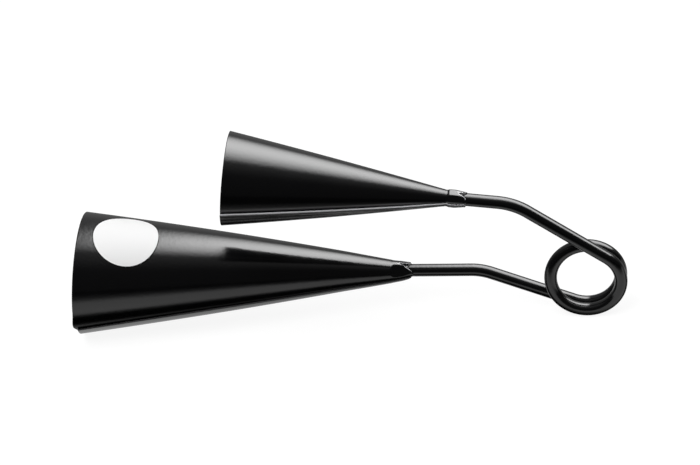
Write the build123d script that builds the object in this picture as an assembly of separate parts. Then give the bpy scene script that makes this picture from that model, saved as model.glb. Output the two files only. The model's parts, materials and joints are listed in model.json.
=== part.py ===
from build123d import *
import math
import os

# An agogo bell: two steel bells, each rolled from one sheet, on the ends of one bent spring rod.
# Frame: X runs along the instrument, with the mouths at -X and the spring loop at +X. Y runs through
# the loop's axis, with the front at -Y. Z is up. The instrument stands on the rim of the low bell and
# on its loop, and the origin is on the ground below its middle. Lengths are millimetres, angles degrees.

# Spring rod: its loop, and the two arms that leave the loop along its tangents
ROD_DIAMETER = 8.0
LOOP_RADIUS = 21.95
LOOP_PITCH = 8.6
UPPER_ARM_SLOPE = 36.3
LOWER_ARM_SLOPE = 19.4
UPPER_ARM_LENGTH = 60.1
LOWER_ARM_LENGTH = 55.3
UPPER_BEND_RADIUS = 38.0
LOWER_BEND_RADIUS = 38.0
UPPER_TAIL_LENGTH = 19.0
LOWER_TAIL_LENGTH = 37.6
ROD_END_LENGTH = 4.0
BIARC_SPAN = 90.0
LEAST_LOOP_GAP = 0.4

# High bell, its axis falling from the mouth to the neck by the slope. Angles round a bell go from its front
# to its top. The neck's radius is at the corners of its flats, and its point lies at the point's angle.
HIGH_AXIS_SLOPE = 6.7
HIGH_LENGTH = 148.3
HIGH_MOUTH_RADIUS = 28.65
HIGH_THROAT_RADIUS = 5.1
HIGH_BULGE_HEIGHT = 0.45
HIGH_SEAM_ANGLE = -22.0
HIGH_MOUTH_SLANT = 0.3
HIGH_NECK_RADIUS = 5.6
HIGH_FLAT_COUNT = 6
HIGH_FLAT_ANGLE = 24.0
HIGH_POINT_ANGLE = 10.0

# Low bell, whose axis is level here, in the same terms
LOW_LENGTH = 211.7
LOW_MOUTH_RADIUS = 38.5
LOW_THROAT_RADIUS = 7.35
LOW_BULGE_HEIGHT = 1.15
LOW_SEAM_ANGLE = -36.0
LOW_MOUTH_SLANT = 4.7
LOW_NECK_RADIUS = 6.2
LOW_FLAT_COUNT = 4
LOW_FLAT_ANGLE = 14.0
LOW_POINT_ANGLE = -7.0

# Rolled sheet of both bells: the lap is the angle by which one end runs under the other
SHEET_THICKNESS = 1.0
LAP_ANGLE = 12.0
NECK_LENGTH = 14.0
NECK_STEP_HEIGHT = 0.5
NECK_GAP = 0.1
POINT_CUT_ANGLE = 38.0

# Weld metal in the corners beside each pointed neck, rising from the rod to the sheet
WELD_RADIUS = 5.4
WELD_FOOT = 0.6
WELD_LENGTH = 4.5

# Round sticker on the low bell
LABEL_DIAMETER = 41.8
LABEL_THICKNESS = 0.2
LABEL_GAP = 0.05
LABEL_FROM_MOUTH = 32.9
LABEL_ANGLE = 76.0

ROD_RADIUS = ROD_DIAMETER / 2
BORE_RADIUS = ROD_RADIUS + NECK_GAP
FLAT_REACH = BORE_RADIUS + SHEET_THICKNESS
LOOP_START = 90.0 - UPPER_ARM_SLOPE
LOOP_END = -(450.0 + LOWER_ARM_SLOPE)
FRONT = Vector(0, -1, 0)
FROM_BASE = (Align.CENTER, Align.CENTER, Align.MIN)


def loop_point(angle):
    """Point of the loop's helix, which turns clockwise seen from the front and runs from front to back."""
    turn = math.radians(angle)
    depth = LOOP_PITCH * ((LOOP_START + LOOP_END) / 2 - angle) / 360
    return Vector(LOOP_RADIUS * math.cos(turn), depth, LOOP_RADIUS * math.sin(turn))


def loop_tangent(angle):
    """Unit direction of the helix at an angle, towards its back end."""
    turn = math.radians(angle)
    lead = LOOP_PITCH / (2 * math.pi)
    return Vector(LOOP_RADIUS * math.sin(turn), lead, -LOOP_RADIUS * math.cos(turn)).normalized()


def biarc(start, start_way, end, end_way):
    """Two arcs that meet smoothly and follow the given directions at their outer ends."""
    chord = end - start
    ways = start_way + end_way
    bend = 2 * (1 - start_way.dot(end_way))
    reach = chord.dot(ways)
    handle = (math.sqrt(reach ** 2 + bend * chord.dot(chord)) - reach) / bend
    joint = (start + start_way * handle + end - end_way * handle) / 2
    joint_way = (end - end_way * handle - start - start_way * handle).normalized()
    first = Edge.make_tangent_arc(start, start_way, joint)
    second = Edge.make_tangent_arc(joint, joint_way, end)
    return [first, second]


def round_rod(edges):
    """The rod's round section carried along a path."""
    path = Wire(edges)
    return sweep(Plane(origin=path @ 0, z_dir=path % 0) * Circle(ROD_RADIUS), path=path)


def spring_loop():
    """One unbroken tube of about one and a half turns, as arcs of a quarter turn."""
    spans = math.ceil((LOOP_START - LOOP_END) / BIARC_SPAN)
    angles = [LOOP_START + (LOOP_END - LOOP_START) * i / spans for i in range(spans + 1)]
    edges = []
    for a, b in zip(angles, angles[1:]):
        edges += biarc(loop_point(a), loop_tangent(a), loop_point(b), loop_tangent(b))
    return round_rod(edges)


def least_loop_gap():
    """Least distance between the loop's surface and itself, over points more than half a turn apart."""
    points = [(a, loop_point(a)) for a in range(math.ceil(LOOP_END), math.floor(LOOP_START) + 1, 2)]
    apart = [(p - q).length for a, p in points for b, q in points if b - a > 180]
    return min(apart) - ROD_DIAMETER


def arm_path(start, way, axis, run, bend_radius, tail):
    """Edges of an arm from the loop: a straight run, a tangent arc, and a tail along a bell's axis."""
    turn = math.radians(way.get_angle(axis))
    side = (axis - way * way.dot(axis)).normalized()
    bend_start = start + way * run
    bend_end = bend_start + (way * math.sin(turn) + side * (1 - math.cos(turn))) * bend_radius
    neck_end = bend_end + axis * tail
    rod_end = neck_end + axis * (NECK_LENGTH + ROD_END_LENGTH)
    edges = [
        Edge.make_line(start, bend_start),
        Edge.make_tangent_arc(bend_start, way, bend_end),
        Edge.make_line(bend_end, rod_end),
    ]
    return edges, neck_end


def station(neck_end, axis, distance, slant=0.0):
    """Plane across a bell, x to the front and z to the mouth, its lower edge slanted to the mouth."""
    return Plane(origin=neck_end + axis * distance, x_dir=FRONT, z_dir=axis.rotate(Axis.Y, slant))


def rolled_outline(plane, radius, step, seam):
    """Outline of a sheet rolled one turn: the radius grows by the step and then drops at the seam."""

    def point(turn):
        angle = math.radians(seam + 360 * turn)
        reach = radius + step * turn
        return plane.from_local_coords(Vector(reach * math.cos(angle), reach * math.sin(angle), 0))

    arcs = [ThreePointArc(point(i / 4), point(i / 4 + 1 / 8), point((i + 1) / 4)) for i in range(4)]
    return make_face(arcs + [Line(point(1), point(0))])


def cone_form(bell, inset, seam):
    """Solid of a bell's cone from throat to mouth, its surface set in by the inset."""
    middle = (NECK_LENGTH + bell["length"]) / 2
    middle_radius = (bell["throat"] + bell["mouth"]) / 2 + bell["bulge"]
    place = bell["neck_end"], bell["axis"]
    sections = [
        rolled_outline(station(*place, NECK_LENGTH), bell["throat"] - inset, NECK_STEP_HEIGHT, seam),
        rolled_outline(
            station(*place, middle, bell["slant"] / 2), middle_radius - inset, SHEET_THICKNESS, seam
        ),
        rolled_outline(
            station(*place, bell["length"], bell["slant"]), bell["mouth"] - inset, SHEET_THICKNESS, seam
        ),
    ]
    return loft(sections)


def pointed_end(bell, reach):
    """Wedges that cut the neck to a point, seen along the turned front direction."""
    back = reach * math.tan(math.radians(POINT_CUT_ANGLE))
    side = Plane(
        origin=bell["neck_end"],
        x_dir=bell["axis"],
        z_dir=FRONT.rotate(Axis(bell["neck_end"], bell["axis"]), bell["point_angle"]),
    )
    corner = make_face(Polyline((0, 0), (back, reach), (-reach, reach), (-reach, 0), close=True))
    wedge = extrude(side * corner, amount=reach, both=True)
    return wedge + mirror(wedge, about=Plane(origin=side.origin, z_dir=side.y_dir))


def neck_form(bell, tip_radius, throat_radius, seam):
    """Solid of a neck from its tip to the throat."""
    place = bell["neck_end"], bell["axis"]
    return loft(
        [
            rolled_outline(station(*place, 0), tip_radius, NECK_STEP_HEIGHT, seam),
            rolled_outline(station(*place, NECK_LENGTH), throat_radius, NECK_STEP_HEIGHT, seam),
        ],
        ruled=True,
    )


def crimp_form(bell):
    """Many-sided form whose flats press the neck onto the rod at its tip and clear it at the throat."""
    turn = bell["flat_angle"] - 180 / bell["flat_count"]
    sections = [
        station(bell["neck_end"], bell["axis"], distance)
        * RegularPolygon(radius, bell["flat_count"], major_radius=False, rotation=turn)
        for distance, radius in ((0, FLAT_REACH), (NECK_LENGTH, bell["throat"] + NECK_STEP_HEIGHT))
    ]
    return loft(sections, ruled=True)


def bell_shell(bell):
    """One rolled sheet: lapped cone, open mouth, and a pointed neck crimped with flats round the rod."""
    under = bell["seam"] - LAP_ANGLE
    neck = neck_form(bell, bell["neck"], bell["throat"], bell["seam"]) & crimp_form(bell)
    neck -= neck_form(bell, BORE_RADIUS, bell["throat"] - SHEET_THICKNESS, under)
    neck -= pointed_end(bell, 2 * bell["neck"])
    return neck + (cone_form(bell, 0, bell["seam"]) - cone_form(bell, SHEET_THICKNESS, under))


def neck_weld(bell):
    """Weld metal that fills the corners beside the neck's point, up to the rod."""
    ring = Cone(BORE_RADIUS + WELD_FOOT, WELD_RADIUS, WELD_LENGTH, align=FROM_BASE)
    ring -= Cylinder(BORE_RADIUS, WELD_LENGTH, align=FROM_BASE)
    return station(bell["neck_end"], bell["axis"], 0).location * ring & pointed_end(bell, 2 * WELD_RADIUS)


def round_label(bell):
    """Thin disc that follows the low bell's cone."""
    skin = cone_form(bell, -LABEL_GAP - LABEL_THICKNESS, bell["seam"])
    skin -= cone_form(bell, -LABEL_GAP, bell["seam"])
    across = station(bell["neck_end"], bell["axis"], bell["length"] - LABEL_FROM_MOUTH)
    punch = Cylinder(LABEL_DIAMETER / 2, bell["mouth"], align=FROM_BASE)
    aim = across.location * Rot(0, 0, LABEL_ANGLE) * Pos(bell["mouth"] / 2, 0, 0) * Rot(0, 90, 0)
    return skin & aim * punch


def axis_way(slope):
    """Direction along a bell's axis from its neck to its mouth."""
    turn = math.radians(slope)
    return Vector(-math.cos(turn), 0, math.sin(turn))


high_axis = axis_way(HIGH_AXIS_SLOPE)
low_axis = axis_way(0.0)
upper_edges, high_neck_end = arm_path(
    loop_point(LOOP_START), loop_tangent(LOOP_START) * -1, high_axis,
    UPPER_ARM_LENGTH, UPPER_BEND_RADIUS, UPPER_TAIL_LENGTH,
)
lower_edges, low_neck_end = arm_path(
    loop_point(LOOP_END), loop_tangent(LOOP_END), low_axis,
    LOWER_ARM_LENGTH, LOWER_BEND_RADIUS, LOWER_TAIL_LENGTH,
)
high = {
    "neck_end": high_neck_end, "axis": high_axis, "length": HIGH_LENGTH,
    "mouth": HIGH_MOUTH_RADIUS, "throat": HIGH_THROAT_RADIUS, "neck": HIGH_NECK_RADIUS,
    "bulge": HIGH_BULGE_HEIGHT, "seam": HIGH_SEAM_ANGLE, "slant": HIGH_MOUTH_SLANT,
    "flat_count": HIGH_FLAT_COUNT, "flat_angle": HIGH_FLAT_ANGLE, "point_angle": HIGH_POINT_ANGLE,
}
low = {
    "neck_end": low_neck_end, "axis": low_axis, "length": LOW_LENGTH,
    "mouth": LOW_MOUTH_RADIUS, "throat": LOW_THROAT_RADIUS, "neck": LOW_NECK_RADIUS,
    "bulge": LOW_BULGE_HEIGHT, "seam": LOW_SEAM_ANGLE, "slant": LOW_MOUTH_SLANT,
    "flat_count": LOW_FLAT_COUNT, "flat_angle": LOW_FLAT_ANGLE, "point_angle": LOW_POINT_ANGLE,
}
parts = {
    "spring_loop": spring_loop(),
    "upper_arm": round_rod(upper_edges),
    "lower_arm": round_rod(lower_edges),
    "high_bell": bell_shell(high),
    "low_bell": bell_shell(low),
    "high_neck_weld": neck_weld(high),
    "low_neck_weld": neck_weld(low),
    "label": round_label(low),
}

# The line under the low rim and the loop becomes the ground
rim = station(low["neck_end"], low["axis"], LOW_LENGTH, LOW_MOUTH_SLANT)
rim_reach = LOW_MOUTH_RADIUS + SHEET_THICKNESS * (270 - LOW_SEAM_ANGLE) / 360
rim_foot = rim.from_local_coords(Vector(0, -rim_reach, 0))
foot_distance = math.hypot(rim_foot.X, rim_foot.Z)
under_loop = math.asin((LOOP_RADIUS + ROD_RADIUS) / foot_distance)
ground_angle = math.degrees(math.atan2(-rim_foot.Z, -rim_foot.X) - under_loop)
stood = [Rot(0, ground_angle, 0) * part for part in parts.values()]
box = Compound(stood).bounding_box()
ground = Pos(-box.center().X, -box.center().Y, -box.min.Z)

os.makedirs("parts", exist_ok=True)
for name, part in zip(parts, stood):
    export_step(ground * part, f"parts/{name}.step")

loop_gap = least_loop_gap()
placed = ground * Rot(0, ground_angle, 0)
print(f"spring loop: least gap to itself {loop_gap:.2f} mm, wanted over {LEAST_LOOP_GAP} mm")
print(f"ground angle {ground_angle:.2f}, box {box.size.X:.1f} x {box.size.Y:.1f} x {box.size.Z:.1f} mm")
for name, point in {
    "loop centre": Vector(0, 0, 0),
    "high neck end": high["neck_end"],
    "high mouth": high["neck_end"] + high["axis"] * HIGH_LENGTH,
    "low neck end": low["neck_end"],
    "low mouth": low["neck_end"] + low["axis"] * LOW_LENGTH,
}.items():
    at = (placed * Pos(point)).position
    print(f"{name} at {at.X:.2f}, {at.Y:.2f}, {at.Z:.2f}")
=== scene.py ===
import json
import math

import bmesh
import bpy
import numpy as np
from mathutils import Matrix, Vector


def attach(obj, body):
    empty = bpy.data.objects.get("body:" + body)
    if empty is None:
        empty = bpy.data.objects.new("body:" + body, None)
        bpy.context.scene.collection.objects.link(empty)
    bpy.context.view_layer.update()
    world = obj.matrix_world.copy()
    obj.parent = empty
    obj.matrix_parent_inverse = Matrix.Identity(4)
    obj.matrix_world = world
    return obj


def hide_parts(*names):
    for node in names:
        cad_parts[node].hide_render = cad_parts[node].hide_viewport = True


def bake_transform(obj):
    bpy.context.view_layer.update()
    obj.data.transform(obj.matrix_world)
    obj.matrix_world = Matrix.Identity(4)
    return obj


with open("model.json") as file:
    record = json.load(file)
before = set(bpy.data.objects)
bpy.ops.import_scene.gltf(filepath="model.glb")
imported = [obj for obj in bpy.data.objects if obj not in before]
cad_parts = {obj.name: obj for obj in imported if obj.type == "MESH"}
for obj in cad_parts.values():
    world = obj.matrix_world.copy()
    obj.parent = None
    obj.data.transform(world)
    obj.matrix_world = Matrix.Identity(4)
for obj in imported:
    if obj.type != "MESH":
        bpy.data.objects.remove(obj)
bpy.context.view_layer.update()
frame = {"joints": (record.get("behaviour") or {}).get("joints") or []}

# An agogo bell: two bells rolled from black sheet steel on the ends of one bent spring rod, with a
# round white sticker on the low bell. It stands as in the frame: mouths at -X, spring loop at +X,
# front at -Y, Z up. Sizes are millimetres and degrees. Meshes, paper and lamps are in metres.
MM = 0.001
FRONT = np.array([0.0, -1.0, 0.0])
LOOP_CENTRE = np.array(frame["joints"][0]["pos_m"]) / MM
# The flat drawing has the low bell level. Standing on its rim and the loop tilts it by this angle.
STANDING_TILT = 2.37
# Points closer than this, in metres, become one
MERGE_DISTANCE = 2e-6

# Spring rod: a loop with an arm from each end. An arm is a straight run at a slope, a bend, and a tail
# along its bell's axis up to the neck.
ROD_RADIUS = 4.0
LOOP_RADIUS = 21.95
LOOP_PITCH = 8.6
UPPER_ARM = {"slope": 36.3, "run": 60.1, "bend": 38.0, "tail": 19.0}
LOWER_ARM = {"slope": 19.4, "run": 55.3, "bend": 38.0, "tail": 37.6}
LOOP_START = 90.0 - UPPER_ARM["slope"]
LOOP_END = -(360.0 + 90.0 + LOWER_ARM["slope"])
ROD_END_PAST_THROAT = 4.0
ROD_END_ROUNDING = 0.8
# Points along the rod's parts and round it
LOOP_POINTS = 300
RUN_POINTS = 30
BEND_POINTS = 25
TAIL_POINTS = 24
ROD_END_ROWS = 7
ROD_SIDES = 48

# Rolled sheet of both bells: one turn and a lap, its far end lying outside with its cut edge facing up
SHEET = 1.0
LAP_TURNS = 12.0 / 360.0
EDGE_ROUNDING = 0.5
END_SQUARENESS = 2.3
NECK_LENGTH = 14.0
# Thickness that the crimp leaves, by distance from the neck's end
CRIMPED_SHEET = ((0.0, 0.55), (5.0, 0.85), (9.0, SHEET))
# Width in which the crimp's flats round off into its corners
CORNER_SOFTNESS = 0.12
# Length in which the notches and tongues of the neck's end die out of the mesh's rows
NOTCH_FADE = 24.0
# Step of the lap in the neck. Along the cone it grows to the sheet's thickness, and the seam's press and
# flare grow from nothing, at these rates by share of the cone.
NECK_STEP = 0.5
STEP_GROWTH = 2.0
SEAM_GROWTH = 6.0
# Pressed line above the seam, flare below it, and the twist, which starts at a share of the cone
PRESS_START = 3.0
PRESS_BEND = 1.8
FLARE_LENGTH = 3.5
TWIST_START = 0.4
TWIST_POWER = 1.5
# Painted highlight on cut edges, coloured as bare grey steel where the lamp catches them: its width, how
# many widths from the cut it ends, and its strength round the neck by angle, full only on the upper
# front
EDGE_HIGHLIGHT_WIDTH = 0.6
EDGE_HIGHLIGHT_REACH = 1.5
NECK_EDGE_HIGHLIGHT = (
    (-180.0, 0.0), (22.0, 0.0), (36.0, 1.0), (92.0, 1.0), (100.0, 0.0), (180.0, 0.0),
)
# Points across the sheet, crowded beside the seam, which has a zone of so many turns on each side
SEAM_ZONE = 0.1
LAP_POINTS = 8
START_POINTS = 60
START_CROWDING = 1.4
BODY_POINTS = 140
FLAP_POINTS = 40
FLAP_CROWDING = 1.6
EDGE_POINTS = 13
# Rows along the sheet, closer at the neck
END_ROWS = 6
NECK_ROWS = 50
NECK_ROWS_END = 18.0
CONE_ROWS = 70
LAST_ROW_FROM_MOUTH = 0.8

# The two bells. Angles go from the front towards the top, and turns go from the seam.
# "slope" is the angle of the axis, "slant" that of the mouth, and "bulge" the cone's swell half way.
# "seam" is the seam's angle, and "twist" makes it turn along the cone. "seam_squareness" shapes its cut
# edge: 2 is round, and more is squarer.
# "seam_press" and "seam_flare" are heights; the entry after them sets the painted highlight on the cut
# edge.
# "flats" counts the flats of the neck's crimp, and one of them faces "flat_turn".
# By distance from the neck's end: "corner" is the radius over the crimp's corners, "pressed" the share
# by which its flats are pressed in, and "fall" how far the middle hangs below the axis.
# By angle: "start" is where the sheet starts, later in the notches than on the tongues.
# By turns: "skew" is how far the sheet runs out at the mouth.
# "welds" are the middle and the spread of each bead in the notches.
HIGH_BELL = {
    "slope": 6.7, "length": 148.3, "mouth": 28.65, "throat": 5.1, "bulge": 0.45, "slant": 0.3,
    "seam": -21.6, "seam_squareness": 5.0, "twist": 0.0,
    "seam_press": 0.12, "seam_flare": 0.45, "seam_highlight": 1.0,
    "flats": 8, "flat_turn": 27.0,
    "corner": ((0.0, 4.5), (4.0, 5.15), (7.5, 5.65), (10.5, 5.5), (12.4, 4.85), (14.0, 5.1)),
    "pressed": ((0.0, 0.03), (4.0, 0.065), (7.5, 0.075), (11.0, 0.06), (14.0, -0.1)),
    "fall": ((0.0, 0.0), (148.3, 0.0)),
    "start": (
        (-180.0, 0.6), (-120.0, 1.0), (-90.0, 2.0), (-60.0, 1.0), (0.0, 0.0), (37.0, 0.5),
        (73.0, 4.6), (79.0, 4.4), (88.0, 1.2), (120.0, 0.3), (180.0, 0.6),
    ),
    "skew": ((0.0, 0.0), (1.0, 0.0)),
    "welds": ((84.0, 60.0), (-95.0, 110.0)),
}
LOW_BELL = {
    "slope": 0.0, "length": 211.7, "mouth": 38.6, "throat": 7.35, "bulge": 1.0, "slant": 4.7,
    "seam": -32.8, "seam_squareness": 2.3, "twist": 12.0,
    "seam_press": 0.0, "seam_flare": 0.1, "seam_highlight": 0.08,
    "flats": 2, "flat_turn": 32.0,
    "corner": ((0.0, 4.9), (2.0, 5.2), (6.0, 6.0), (12.0, 6.9), (14.0, 7.35)),
    "pressed": ((0.0, 0.06), (3.0, 0.14), (7.0, 0.2), (10.5, 0.2), (13.0, 0.05), (14.0, -0.1)),
    "fall": ((0.0, 0.0), (6.0, 0.35), (12.0, 0.6), (20.0, 0.5), (50.0, 0.0), (211.7, -0.5)),
    "start": (
        (-180.0, 1.0), (-90.0, 4.0), (-60.0, 2.5), (-8.0, -1.2), (29.0, 0.3), (49.0, 2.5), (67.0, 4.4),
        (78.0, 7.4), (82.0, 7.4), (88.0, 2.2), (104.0, 0.6), (130.0, 0.6), (180.0, 1.0),
    ),
    "skew": (
        (-0.033, -1.0), (-0.013, 1.1), (-0.006, 1.6), (0.0, 1.7), (0.06, 0.6), (0.5, 0.0), (1.0, -1.0),
    ),
    "welds": ((86.0, 44.0), (-90.0, 110.0)),
}

# Weld beads: how deep in a notch they may lie, how far they stand before the sheet and off the rod,
# the power of their arch, and the height and speed of the waves on them
WELD_RADIUS = 0.8
WELD_DEPTH = 2.2
WELD_LEAD = 0.3
WELD_LIFT = 0.2
WELD_ARCH = 0.6
WELD_WAVES = ((0.16, 19.0), (0.1, 43.0))
WELD_ROWS = 40
WELD_SIDES = 20

# Sticker: a disc with a printed ring. Its rounded edge is given by shares of its radius and thickness.
LABEL_RADIUS = 20.8
LABEL_RING = 0.5
RING_SOFTNESS = 0.05
LABEL_THICKNESS = 0.2
LABEL_GAP = 0.05
LABEL_FROM_MOUTH = 32.9
LABEL_ANGLE = 71.3
LABEL_FACE = 0.985
LABEL_EDGE = ((0.995, 0.95), (1.0, 0.7), (1.0, 0.3), (0.995, 0.05))
LABEL_RINGS = 24
LABEL_SIDES = 96

# Powder coat. Powder that has flowed out in the oven keeps waves 1 to 3 mm wide, and its gloss drifts
# over about a finger's width.
COAT_BLACK = "0b0b0c"
# Grey painted on the cut edges as a highlight where they catch the lamp, coloured like bare steel
COAT_PAINTED_HIGHLIGHT = "b9b9bc"
COAT_ROUGHNESS = (0.14, 0.18)
COAT_IOR = 1.45
PEEL_WIDTH = 2.222
PEEL_DEPTH = 0.3
PEEL_STRENGTH = 0.12
GLOSS_PATCH = 16.667

# Vinyl. The grain of its face is finer than 0.1 mm and would not show, so it is drawn as soft patches
# about a hundred times as wide.
VINYL_WHITE = "f6f6f6"
VINYL_BLACK = "101011"
VINYL_ROUGHNESS = (0.6, 0.68)
VINYL_IOR = 1.45
VINYL_SHINE = 0.2
VINYL_PATCH = 11.111

# Levels between which nearly all of a noise pattern lies
NOISE_SPAN = (0.3, 0.7)

# Camera, from the photograph's outline
CAMERA_PLACE = (181.0, -1295.4, 811.0)
CAMERA_LOOK = (-0.1172, 0.8600, -0.4966)
CAMERA_UP = (0.0455, 0.5042, 0.8624)
CAMERA_LENS = 123.43
CAMERA_SENSOR = 36.0

# White paper under the instrument, in metres: lowest x and y, highest x and y
PAPER = (-0.60, -0.36, 0.80, 0.80)
# How bright the eye sees the paper, and the share of other light that it gives back
PAPER_GLOW = 0.90
PAPER_DULL = 0.16
# Painted light and painted shadow on the paper that only reflections see, by depth in metres along a
# line square to the low bell's front: dark far in front, lit before the bells, painted shade at their
# foot, lit below them and dimmer behind
DEPTH_WAY = (-0.10, 1.0, 0.0)
PAINTED_REFLECTION_BANDS = (
    (-0.38, 0.0), (-0.168, 0.0), (-0.108, 0.2), (-0.077, 1.1), (-0.0355, 1.1), (-0.0285, 0.0),
    (-0.008, 0.0), (-0.003, 0.95), (0.006, 0.6), (0.031, 0.5), (0.056, 0.25), (0.80, 0.25),
)
# Point that the plain lamp and the fill lamp face, in metres
AIM = (0.0, 0.0, 0.07)
# The sheen lamp stands to the right, and shines fully up to these shares of its width and length
SHEEN_X = 1.225
SHEEN_FULL = (0.409, 0.0)
# The room brightens up and back, between two parts of that direction, from one level to the other
ROOM_WAY = (0.0, 0.5, 0.87)
ROOM_SPAN = (0.0, 0.8)
ROOM_LEVELS = (0.04, 0.4)


def unit(vectors):
    """Vectors divided by their lengths, along the last axis."""
    return vectors / np.linalg.norm(vectors, axis=-1, keepdims=True)


def wrapped(angle):
    """Angles brought to within half a turn of zero by whole turns."""
    return (angle + 180.0) % 360.0 - 180.0


def smooth(x):
    """Smooth step: 0 below 0, 1 above 1, and three x squared less two x cubed between."""
    x = np.clip(x, 0.0, 1.0)
    return x * x * (3.0 - 2.0 * x)


def through(points, x):
    """Smooth curve through points of place and value: a cubic between each two, whose slope at a point
    is the harmonic mean of its neighbours' slopes, or level at a crest, a hollow and the ends."""
    at, value = np.array(points).T
    rise = np.diff(value) / np.diff(at)
    product = rise[:-1] * rise[1:]
    slope = np.zeros(len(at))
    np.divide(2.0 * product, rise[:-1] + rise[1:], out=slope[1:-1], where=product > 0.0)
    i = np.clip(np.searchsorted(at, x, side="right") - 1, 0, len(at) - 2)
    width = at[i + 1] - at[i]
    t = np.clip((x - at[i]) / width, 0.0, 1.0)
    bend = width * t * (1.0 - t) * (slope[i] * (1.0 - t) - slope[i + 1] * t)
    return value[i] + (value[i + 1] - value[i]) * smooth(t) + bend


def stand(points):
    """Points of the flat drawing, round the loop's centre, turned by the standing tilt."""
    tilt = math.radians(STANDING_TILT)
    turn = np.array([
        [math.cos(tilt), 0.0, math.sin(tilt)],
        [0.0, 1.0, 0.0],
        [-math.sin(tilt), 0.0, math.cos(tilt)],
    ])
    return points @ turn.T


def bell_axis(bell):
    """Unit direction from a bell's neck to its mouth, in the flat drawing."""
    slope = math.radians(bell["slope"])
    return np.array([-math.cos(slope), 0.0, math.sin(slope)])


def helix(angles):
    """Points of the loop: a circle seen from the front, moving back by one pitch a turn."""
    turn = np.radians(angles)
    depth = LOOP_PITCH * ((LOOP_START + LOOP_END) / 2 - angles) / 360.0
    return np.stack([LOOP_RADIUS * np.cos(turn), depth, LOOP_RADIUS * np.sin(turn)], axis=-1)


def helix_way(angle):
    """Unit direction of the loop at an angle, towards its back end."""
    turn = math.radians(angle)
    lead = LOOP_PITCH / (2.0 * math.pi)
    return unit(np.array([LOOP_RADIUS * math.sin(turn), lead, -LOOP_RADIUS * math.cos(turn)]))


def arm_line(start, way, bell, arm):
    """Centre line of an arm, and the neck's end on it: a straight run from the loop, an arc that turns
    to the bell's axis, and a tail along the axis into the bell, with closer points at its end."""
    axis = bell_axis(bell)
    turn = math.acos(way @ axis)
    side = unit(axis - way * (way @ axis))
    run = start + way * np.linspace(0.0, arm["run"], RUN_POINTS)[1:-1, None]
    swing = np.linspace(0.0, turn, BEND_POINTS)[:, None]
    arc = np.sin(swing) * way + (1.0 - np.cos(swing)) * side
    bend = start + way * arm["run"] + arm["bend"] * arc
    reach = arm["tail"] + NECK_LENGTH + ROD_END_PAST_THROAT
    even = np.linspace(0.0, reach - ROD_END_ROUNDING, TAIL_POINTS)[1:-1]
    closer = reach - ROD_END_ROUNDING * np.cos(np.linspace(0.0, math.pi / 2, ROD_END_ROWS))
    tail = bend[-1] + axis * np.concatenate([even, closer])[:, None]
    return np.concatenate([run, bend, tail]), bend[-1] + axis * arm["tail"]


def placed(bell, neck_end):
    """A bell's values with its axis, its upward direction and its neck's end in the frame."""
    axis = stand(bell_axis(bell))
    return {
        **bell,
        "axis": axis,
        "up": np.cross(axis, FRONT),
        "neck_end": stand(neck_end) + LOOP_CENTRE,
    }


def grid_piece(name, grids, marks=None):
    """Smooth closed mesh of one or more grids of points in millimetres: each four neighbours make a
    face, the columns close on themselves, rows that have shrunk to a point are merged, and faces turn
    outwards. Marks are values for the points, kept by name for the materials."""
    points = np.concatenate([grid.reshape(-1, 3) for grid in grids])
    faces = []
    first = 0
    for grid in grids:
        rows, columns = grid.shape[:2]
        index = first + np.arange(rows * columns).reshape(rows, columns)
        index = np.concatenate([index, index[:, :1]], axis=1)
        corners = [index[:-1, :-1], index[:-1, 1:], index[1:, 1:], index[1:, :-1]]
        faces.append(np.stack(corners, axis=-1).reshape(-1, 4))
        first += rows * columns
    mesh = bpy.data.meshes.new(name)
    mesh.from_pydata((points * MM).tolist(), [], np.concatenate(faces).tolist())
    for mark, values in (marks or {}).items():
        layer = mesh.attributes.new(mark, "FLOAT", "POINT")
        layer.data.foreach_set("value", values.ravel().astype(np.float32))
    work = bmesh.new()
    work.from_mesh(mesh)
    bmesh.ops.remove_doubles(work, verts=work.verts, dist=MERGE_DISTANCE)
    bmesh.ops.recalc_face_normals(work, faces=work.faces)
    work.to_mesh(mesh)
    work.free()
    mesh.polygons.foreach_set("use_smooth", np.ones(len(mesh.polygons), dtype=bool))
    piece = bpy.data.objects.new(name, mesh)
    bpy.context.scene.collection.objects.link(piece)
    return piece


def tube(line, radius, sides):
    """Circle carried along a line: two directions square to the line, times the radius there."""
    way = unit(np.gradient(line, axis=0))
    side = unit(np.cross(way, FRONT))
    lift = np.cross(side, way)
    turn = np.linspace(0.0, 2.0 * math.pi, sides, endpoint=False)[None, :, None]
    ring = np.cos(turn) * side[:, None] + np.sin(turn) * lift[:, None]
    return line[:, None] + np.reshape(radius, (-1, 1, 1)) * ring


def spring_rod(line):
    """The rod: its circle carried from the end in the high bell, round the loop, to the end in the low
    bell. Near each end the radius falls as a quarter ellipse, and the end row is a point."""
    fall = ROD_END_ROUNDING * (1.0 - np.sin(np.linspace(0.0, math.pi / 2, ROD_END_ROWS)))
    radius = np.full(len(line), ROD_RADIUS)
    radius[:ROD_END_ROWS] -= fall
    radius[-ROD_END_ROWS:] -= fall[::-1]
    start_point = np.repeat(line[:1, None], ROD_SIDES, axis=1)
    end_point = np.repeat(line[-1:, None], ROD_SIDES, axis=1)
    grid = np.concatenate([start_point, tube(line, radius, ROD_SIDES), end_point])
    return grid_piece("spring_rod", [grid])


def on_bell(bell, along, angle, radius):
    """Points at distances along a bell's axis, at angles from its front towards its top, at radii from
    its middle, which falls below the axis as its table says."""
    turn = np.radians(angle)[..., None]
    out = np.cos(turn) * FRONT + np.sin(turn) * bell["up"]
    middle = along[..., None] * bell["axis"] - through(bell["fall"], along)[..., None] * bell["up"]
    return bell["neck_end"] + middle + radius[..., None] * out


def bell_share(bell, along):
    """Share of the way from throat to mouth, 0 in the neck."""
    return np.clip((along - NECK_LENGTH) / (bell["length"] - NECK_LENGTH), 0.0, 1.0)


def neck_start(bell, angle):
    """Where the sheet starts along the axis, by angle."""
    return through(bell["start"], wrapped(angle))


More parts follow.
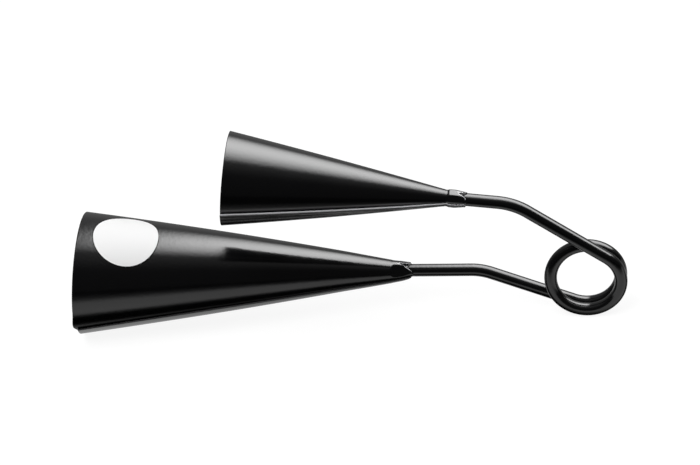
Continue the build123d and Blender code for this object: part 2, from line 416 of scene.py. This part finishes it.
def outside_radius(bell, along, angle):
    """Outer radius of the sheet's first turn. The cone widens evenly with a slight parabola of swell,
    and the neck is a flat-sided crimp: reach over the cosine of the angle from the nearest flat, softly
    held to the corners' radius."""
    share = bell_share(bell, along)
    swell = 4.0 * bell["bulge"] * share * (1.0 - share)
    cone = bell["throat"] + (bell["mouth"] - bell["throat"]) * share + swell
    corner = np.where(along < NECK_LENGTH, through(bell["corner"], along), cone)
    flat = 360.0 / bell["flats"]
    off = np.radians((angle - bell["flat_turn"] + flat / 2) % flat - flat / 2)
    sides = corner * (1.0 - through(bell["pressed"], along)) / np.cos(off)
    return -CORNER_SOFTNESS * np.logaddexp(-sides / CORNER_SOFTNESS, -corner / CORNER_SOFTNESS)


def lean(bell, along, angle, radius):
    """Shift along the axis that slants the mouth, its lower edge forward, and offsets the roll's two
    ends there: the skew at that turn times the share cubed, less the height over the axis times the
    slant's tangent and the share."""
    share = bell_share(bell, along)
    turns = (angle - bell["seam"]) / 360.0
    rise = np.sin(np.radians(angle)) * radius * math.tan(math.radians(bell["slant"]))
    return through(bell["skew"], turns) * share ** 3 - share * rise


def sheet_section(bell):
    """Closed thin outline across the sheet: its outside from the hidden end to the far end, the far
    edge, its inside back again, and the hidden edge. Edges are superellipses. Gives each point's turns
    from the seam, height over the middle in thicknesses, reach past the end, and 1 on the far edge."""
    power = 2.0 / bell["seam_squareness"]
    outside = np.concatenate([
        np.linspace(-LAP_TURNS, 0.0, LAP_POINTS)[:-1],
        SEAM_ZONE * np.linspace(0.0, 1.0, START_POINTS)[:-1] ** START_CROWDING,
        np.linspace(SEAM_ZONE, 1.0 - SEAM_ZONE, BODY_POINTS)[:-1],
        1.0 - SEAM_ZONE * np.linspace(1.0, 0.0, FLAP_POINTS) ** FLAP_CROWDING,
    ])
    round_off = np.linspace(math.pi / 2, -math.pi / 2, EDGE_POINTS)[1:-1]
    edge_height = 0.5 * np.sign(np.sin(round_off)) * np.abs(np.sin(round_off)) ** power
    edge_past = EDGE_ROUNDING * np.cos(round_off) ** power
    flat = np.ones(len(outside))
    edge = np.ones(len(round_off))
    turns = np.concatenate([outside, edge, outside[::-1], -LAP_TURNS * edge])
    height = np.concatenate([0.5 * flat, edge_height, -0.5 * flat, -edge_height])
    past = np.concatenate([0.0 * flat, edge_past, 0.0 * flat, -edge_past])
    far_edge = np.concatenate([0.0 * flat, edge, 0.0 * flat, 0.0 * edge])
    return turns, height, past, far_edge


def sheet_rows(bell):
    """Rows along the sheet as a column, and the share of the full thickness at each: 1, and falling as
    a superellipse to 0 at both ends."""
    power = 2.0 / END_SQUARENESS
    ease = np.linspace(0.0, math.pi / 2, END_ROWS)
    end_rise = np.sin(ease) ** power
    end_along = EDGE_ROUNDING * (1.0 - np.cos(ease) ** power)
    middle = np.concatenate([
        np.linspace(EDGE_ROUNDING, NECK_ROWS_END, NECK_ROWS)[:-1],
        np.linspace(NECK_ROWS_END, bell["length"] - LAST_ROW_FROM_MOUTH, CONE_ROWS),
    ])
    rows = np.concatenate([end_along, middle, bell["length"] - end_along[::-1]])
    fullness = np.concatenate([end_rise, np.ones(len(middle)), end_rise[::-1]])
    return rows[:, None], fullness[:, None]


def rolled_bell(name, bell):
    """The rolled sheet: its thin section carried from neck to mouth. A point's angle follows its turn
    along the roll, less a twist by a power of the share past its start, and its radius grows by one
    step a turn, so that the last part laps the first. The first part is pressed in just above the seam,
    and the last part flares out to its cut edge. A painted highlight is marked on the cut edges where
    the lamp catches them, within one width square to the cut."""
    turns, height, past, far_edge = sheet_section(bell)
    rows, fullness = sheet_rows(bell)
    angle = bell["seam"] + 360.0 * turns + 0.0 * rows
    along = rows + neck_start(bell, angle) * (1.0 - smooth(rows / NOTCH_FADE))
    share = bell_share(bell, along)
    thickness = through(CRIMPED_SHEET, along)
    angle = angle - bell["twist"] * np.maximum(share - TWIST_START, 0.0) ** TWIST_POWER

    step = NECK_STEP + (SHEET - NECK_STEP) * np.minimum(1.0, STEP_GROWTH * share)
    first_turn = outside_radius(bell, along, angle)
    above = turns * 2.0 * math.pi * first_turn
    below = (1.0 - turns) * 2.0 * math.pi * first_turn
    press = bell["seam_press"] * smooth((PRESS_START - above) / PRESS_BEND)
    flare = bell["seam_flare"] * smooth(1.0 - below / FLARE_LENGTH)
    bent = np.minimum(1.0, SEAM_GROWTH * share) * (flare - press)
    middle_radius = first_turn + step * turns - thickness / 2 + bent
    radius = middle_radius + height * thickness * fullness

    # Painted highlight on cut edges: on the neck's top, where the lamp catches it, and on the seam's far
    # edge
    notch = np.degrees(neck_start(bell, angle + 1.0) - neck_start(bell, angle - 1.0)) / 2.0
    square_width = EDGE_HIGHLIGHT_WIDTH * np.hypot(1.0, notch / bell["throat"])
    neck_highlight = through(NECK_EDGE_HIGHLIGHT, wrapped(angle)) * smooth(EDGE_HIGHLIGHT_REACH - rows / square_width)
    painted_edge_highlight = np.maximum(neck_highlight, bell["seam_highlight"] * far_edge)

    angle = angle + np.degrees(past * fullness / middle_radius)
    grid = on_bell(bell, along + lean(bell, along, angle, radius), angle, radius)
    return grid_piece(name, [grid], {"painted_edge_highlight": painted_edge_highlight})


def neck_weld(name, bell):
    """Lumpy beads in the notches between a neck's tongues: a circle carried along the start of the
    sheet, no deeper than a limit, its radius a sine arch with waves on it for the weld's puddles. The
    bead's own angle starts the waves, so that no two beads are alike."""
    share = np.linspace(0.0, 1.0, WELD_ROWS)
    beads = []
    for middle, spread in bell["welds"]:
        angle = middle + spread * (share - 0.5)
        waves = 1.0
        for i, (rise, speed) in enumerate(WELD_WAVES, start=1):
            waves = waves + rise * np.sin(speed * share + i * middle)
        size = WELD_RADIUS * np.sin(math.pi * share) ** WELD_ARCH * waves
        along = np.minimum(neck_start(bell, angle), WELD_DEPTH) - WELD_LEAD
        line = on_bell(bell, along, angle, np.full(WELD_ROWS, ROD_RADIUS + WELD_LIFT))
        beads.append(tube(line, size, WELD_SIDES))
    return grid_piece(name, beads)


def round_label(bell):
    """Thin disc laid on the cone: rings from the middle of its face, over its edge, to the middle of
    its back. A point's distance across turns it about the axis, and its radius is the sheet's plus its
    height."""
    edge_reach, edge_height = np.array(LABEL_EDGE).T
    face = np.linspace(0.0, LABEL_FACE, LABEL_RINGS)
    reach = LABEL_RADIUS * np.concatenate([face, edge_reach, face[::-1]])[:, None]
    height = np.concatenate([np.ones(LABEL_RINGS), edge_height, np.zeros(LABEL_RINGS)])[:, None]
    turn = np.linspace(0.0, 2.0 * math.pi, LABEL_SIDES, endpoint=False)[None]
    place = bell["length"] - LABEL_FROM_MOUTH + reach * np.cos(turn)
    across = reach * np.sin(turn) / outside_radius(bell, place, LABEL_ANGLE)
    angle = LABEL_ANGLE + np.degrees(across)
    along = place - lean(bell, place, angle, outside_radius(bell, place, angle))
    lapped = SHEET * (angle - bell["seam"]) / 360.0
    lift = LABEL_GAP + LABEL_THICKNESS * height
    radius = outside_radius(bell, along, angle) + lapped + lift
    grid = on_bell(bell, along + lean(bell, along, angle, radius), angle, radius)
    return grid_piece("round_label", [grid], {"from_middle": reach + 0.0 * turn})


def linear(colour):
    """Linear red, green, blue and alpha of an sRGB colour written as six hex digits."""
    srgb = np.array([int(colour[i:i + 2], 16) for i in (0, 2, 4)]) / 255.0
    value = np.where(srgb <= 0.04045, srgb / 12.92, ((srgb + 0.055) / 1.055) ** 2.4)
    return (*value, 1.0)


def node(tree, kind, inputs=None, **settings):
    """Adds a node with its settings. An input is a value, or another node's output to link."""
    made = tree.nodes.new(kind)
    for name, value in settings.items():
        setattr(made, name, value)
    for name, value in (inputs or {}).items():
        if isinstance(value, bpy.types.NodeSocket):
            tree.links.new(value, made.inputs[name])
        else:
            made.inputs[name].default_value = value
    return made


def new_material(name):
    """A material with an empty node tree and its output node."""
    material = bpy.data.materials.new(name)
    material.use_nodes = True
    tree = material.node_tree
    tree.nodes.clear()
    return material, tree, tree.nodes.new("ShaderNodeOutputMaterial")


def uneven(tree, place, width, levels):
    """A value that drifts between two levels: noise with one wave to a width in millimetres."""
    noise = node(tree, "ShaderNodeTexNoise", {
        "Vector": place, "Scale": 1.0 / (width * MM), "Detail": 2.0})
    drift = node(tree, "ShaderNodeMapRange", {
        "Value": noise.outputs["Fac"], "From Min": NOISE_SPAN[0], "From Max": NOISE_SPAN[1],
        "To Min": levels[0], "To Max": levels[1]})
    return drift.outputs["Result"]


def black_powder_coat():
    """Baked powder coat: near-black, half glossy, with the slight orange peel of powder that has flowed
    out, and with a painted highlight in bare-steel grey along the cut edges that face the lamp."""
    material, tree, output = new_material("steel, black powder coat, baked")
    place = node(tree, "ShaderNodeTexCoord").outputs["Object"]
    peel = node(tree, "ShaderNodeTexNoise", {
        "Vector": place, "Scale": 1.0 / (PEEL_WIDTH * MM), "Detail": 1.0})
    bump = node(tree, "ShaderNodeBump", {
        "Height": peel.outputs["Fac"], "Strength": PEEL_STRENGTH, "Distance": PEEL_DEPTH * MM})
    # Painted highlight: grey mixed into the cut edges where they catch the lamp
    painted_edge_highlight = node(tree, "ShaderNodeAttribute", attribute_name="painted_edge_highlight")
    colour = node(tree, "ShaderNodeMix", {
        "Factor": painted_edge_highlight.outputs["Fac"], "A": linear(COAT_BLACK), "B": linear(COAT_PAINTED_HIGHLIGHT)},
        data_type="RGBA")
    coat = node(tree, "ShaderNodeBsdfPrincipled", {
        "Base Color": colour.outputs["Result"],
        "Roughness": uneven(tree, place, GLOSS_PATCH, COAT_ROUGHNESS),
        "IOR": COAT_IOR,
        "Normal": bump.outputs["Normal"]})
    tree.links.new(coat.outputs["BSDF"], output.inputs["Surface"])
    return material


def white_vinyl():
    """Printed vinyl sticker: clean white with a matt face and a thin black line round its edge."""
    material, tree, output = new_material("white vinyl, printed and die-cut")
    place = node(tree, "ShaderNodeTexCoord").outputs["Object"]
    from_middle = node(tree, "ShaderNodeAttribute", attribute_name="from_middle")
    ring_starts = LABEL_RADIUS - LABEL_RING
    ring = node(tree, "ShaderNodeMapRange", {
        "Value": from_middle.outputs["Fac"],
        "From Min": ring_starts - RING_SOFTNESS, "From Max": ring_starts + RING_SOFTNESS})
    print_colour = node(tree, "ShaderNodeMix", {
        "Factor": ring.outputs["Result"], "A": linear(VINYL_WHITE), "B": linear(VINYL_BLACK)},
        data_type="RGBA")
    face = node(tree, "ShaderNodeBsdfPrincipled", {
        "Base Color": print_colour.outputs["Result"],
        "Roughness": uneven(tree, place, VINYL_PATCH, VINYL_ROUGHNESS),
        "IOR": VINYL_IOR,
        "Specular IOR Level": VINYL_SHINE})
    tree.links.new(face.outputs["BSDF"], output.inputs["Surface"])
    return material


def white_paper():
    """Studio paper: white to the eye, with a faint shadow. Reflections see painted light and painted
    shadow
    on it: glowing bands, lit and shaded by depth, that no lamp casts. Other light meets a dull sheet."""
    material, tree, output = new_material("studio paper, white")
    path = node(tree, "ShaderNodeLightPath").outputs
    place = node(tree, "ShaderNodeTexCoord").outputs["Object"]
    front = PAINTED_REFLECTION_BANDS[0][0]
    back = PAINTED_REFLECTION_BANDS[-1][0]
    depth = node(tree, "ShaderNodeVectorMath", {0: place, 1: DEPTH_WAY}, operation="DOT_PRODUCT")
    share = node(tree, "ShaderNodeMapRange", {
        "Value": depth.outputs["Value"], "From Min": front, "From Max": back})
    # Painted light and shadow: glowing bands by depth, seen only in reflections
    painted_bands = node(tree, "ShaderNodeValToRGB", {"Fac": share.outputs["Result"]})
    stops = painted_bands.color_ramp.elements
    for at, _ in PAINTED_REFLECTION_BANDS[1:-1]:
        stops.new((at - front) / (back - front))
    for stop, (_, level) in zip(stops, PAINTED_REFLECTION_BANDS):
        stop.color = (level, level, level, 1.0)
    mirrored = node(tree, "ShaderNodeMath", {
        0: path["Is Glossy Ray"], 1: path["Is Transmission Ray"]}, operation="MAXIMUM")
    banded = node(tree, "ShaderNodeMath", {
        0: mirrored.outputs[0], 1: painted_bands.outputs["Color"]}, operation="MULTIPLY")
    seen = node(tree, "ShaderNodeMath", {
        0: path["Is Camera Ray"], 1: PAPER_GLOW, 2: banded.outputs[0]}, operation="MULTIPLY_ADD")
    dull = node(tree, "ShaderNodeMath", {
        0: path["Is Glossy Ray"], 1: -PAPER_DULL, 2: PAPER_DULL}, operation="MULTIPLY_ADD")
    paper = node(tree, "ShaderNodeBsdfDiffuse", {"Color": dull.outputs[0]})
    glow = node(tree, "ShaderNodeEmission", {"Strength": seen.outputs[0]})
    both = node(tree, "ShaderNodeAddShader", {0: paper.outputs[0], 1: glow.outputs[0]})
    tree.links.new(both.outputs[0], output.inputs["Surface"])
    return material


def floor():
    """A sheet of white paper on the ground, much wider than the picture."""
    low_x, low_y, high_x, high_y = PAPER
    corners = [(low_x, low_y, 0), (high_x, low_y, 0), (high_x, high_y, 0), (low_x, high_y, 0)]
    mesh = bpy.data.meshes.new("paper_floor")
    mesh.from_pydata(corners, [], [(0, 1, 2, 3)])
    mesh.materials.append(white_paper())
    sheet = bpy.data.objects.new("paper_floor", mesh)
    bpy.context.scene.collection.objects.link(sheet)


def softbox(name, place, aim, size, power, diffuse=True, glossy=True):
    """A rectangular lamp at a place, turned to a point, in metres and watts. One that isn't glossy
    makes no highlight, and one that isn't diffuse makes nothing else."""
    data = bpy.data.lights.new(name, "AREA")
    data.shape = "RECTANGLE"
    data.size, data.size_y = size
    data.energy = power
    lamp = bpy.data.objects.new(name, data)
    back = (Vector(place) - Vector(aim)).normalized()
    across = (Vector((1, 0, 0)) - back * back.x).normalized()
    turn = Matrix((across, back.cross(across), back)).transposed().to_4x4()
    lamp.matrix_world = Matrix.Translation(place) @ turn
    lamp.visible_diffuse = diffuse
    lamp.visible_glossy = glossy
    bpy.context.scene.collection.objects.link(lamp)
    return data


def soft_edges(data, full):
    """Makes a lamp fall off smoothly to its edges from the full shares of its width and length, each
    measured from the middle."""
    data.use_nodes = True
    tree = data.node_tree
    tree.nodes.clear()
    face = node(tree, "ShaderNodeSeparateXYZ", {0: node(tree, "ShaderNodeTexCoord").outputs["UV"]})
    falls = []
    for axis, full_share in zip("XY", full):
        off = node(tree, "ShaderNodeMath", {0: face.outputs[axis], 1: 0.5}, operation="SUBTRACT")
        off = node(tree, "ShaderNodeMath", {0: off.outputs[0]}, operation="ABSOLUTE")
        fall = node(tree, "ShaderNodeMapRange", {
            "Value": off.outputs[0], "From Min": full_share, "From Max": 0.5,
            "To Min": 1.0, "To Max": 0.0}, interpolation_type="SMOOTHSTEP")
        falls.append(fall.outputs["Result"])
    both = node(tree, "ShaderNodeMath", {0: falls[0], 1: falls[1]}, operation="MULTIPLY")
    glow = node(tree, "ShaderNodeEmission", {"Strength": both.outputs[0]})
    node(tree, "ShaderNodeOutputLight", {"Surface": glow.outputs[0]})


def studio():
    """The room: white to the eye. Light and reflections see a dim room that brightens smoothly upwards
    and back."""
    world = bpy.data.worlds.new("white_studio")
    world.use_nodes = True
    tree = world.node_tree
    tree.nodes.clear()
    way = node(tree, "ShaderNodeTexCoord").outputs["Generated"]
    lift = node(tree, "ShaderNodeVectorMath", {0: way, 1: ROOM_WAY}, operation="DOT_PRODUCT")
    room = node(tree, "ShaderNodeMapRange", {
        "Value": lift.outputs["Value"], "From Min": ROOM_SPAN[0], "From Max": ROOM_SPAN[1],
        "To Min": ROOM_LEVELS[0], "To Max": ROOM_LEVELS[1]}, interpolation_type="SMOOTHSTEP")
    eye = node(tree, "ShaderNodeLightPath").outputs["Is Camera Ray"]
    seen = node(tree, "ShaderNodeMath", {0: eye, 1: room.outputs["Result"]}, operation="MAXIMUM")
    glow = node(tree, "ShaderNodeBackground", {
        "Color": linear("ffffff"), "Strength": seen.outputs[0]})
    node(tree, "ShaderNodeOutputWorld", {"Surface": glow.outputs[0]})
    bpy.context.scene.world = world


def photo_camera():
    """The camera, with the place, direction and lens that were fitted to the photograph."""
    look = Vector(CAMERA_LOOK).normalized()
    right = look.cross(Vector(CAMERA_UP)).normalized()
    turn = Matrix((right, right.cross(look), -look)).transposed().to_4x4()
    data = bpy.data.cameras.new("camera")
    data.lens = CAMERA_LENS
    data.sensor_width = CAMERA_SENSOR
    camera = bpy.data.objects.new("camera", data)
    camera.matrix_world = Matrix.Translation(Vector(CAMERA_PLACE) * MM) @ turn
    bpy.context.scene.collection.objects.link(camera)
    bpy.context.scene.camera = camera


# The instrument
upper_line, high_neck_end = arm_line(
    helix(LOOP_START), -helix_way(LOOP_START), HIGH_BELL, UPPER_ARM)
lower_line, low_neck_end = arm_line(helix(LOOP_END), helix_way(LOOP_END), LOW_BELL, LOWER_ARM)
loop_line = helix(np.linspace(LOOP_START, LOOP_END, LOOP_POINTS))
rod_line = stand(np.concatenate([upper_line[::-1], loop_line, lower_line])) + LOOP_CENTRE
high = placed(HIGH_BELL, high_neck_end)
low = placed(LOW_BELL, low_neck_end)

rod = spring_rod(rod_line)
low_bell = rolled_bell("rolled_low_bell", low)
high_bell = rolled_bell("rolled_high_bell", high)
low_weld = neck_weld("low_weld_beads", low)
high_weld = neck_weld("high_weld_beads", high)
label = round_label(low)

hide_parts("upper_arm", "spring_loop", "lower_arm")
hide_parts("low_bell")
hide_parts("high_bell")
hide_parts("low_neck_weld")
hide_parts("high_neck_weld")
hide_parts("label")

powder_coat = black_powder_coat()
for piece in (rod, low_bell, high_bell, low_weld, high_weld):
    piece.data.materials.append(powder_coat)
label.data.materials.append(white_vinyl())

# The rod is baked in place on no side, and the other pieces keep to their side
for piece in (low_bell, low_weld, label):
    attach(piece, "low_side")
for piece in (high_bell, high_weld):
    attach(piece, "high_side")
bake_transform(rod)

# The stage, its lamps in metres and watts
floor()
softbox("plain_softbox", place=(0.38, 0.62, 1.20), aim=AIM, size=(0.95, 1.9), power=4.0, glossy=False)
sheen = softbox(
    "sheen_softbox", place=(SHEEN_X, 0.47, 1.29), aim=(SHEEN_X, 0.0, 0.07), size=(2.75, 2.6),
    power=275.0, diffuse=False)
soft_edges(sheen, SHEEN_FULL)
softbox("fill_softbox", place=(-0.5, -0.8, 1.6), aim=AIM, size=(1.2, 1.2), power=25.0, glossy=False)
studio()
photo_camera()
bpy.context.scene.view_settings.view_transform = "Standard"
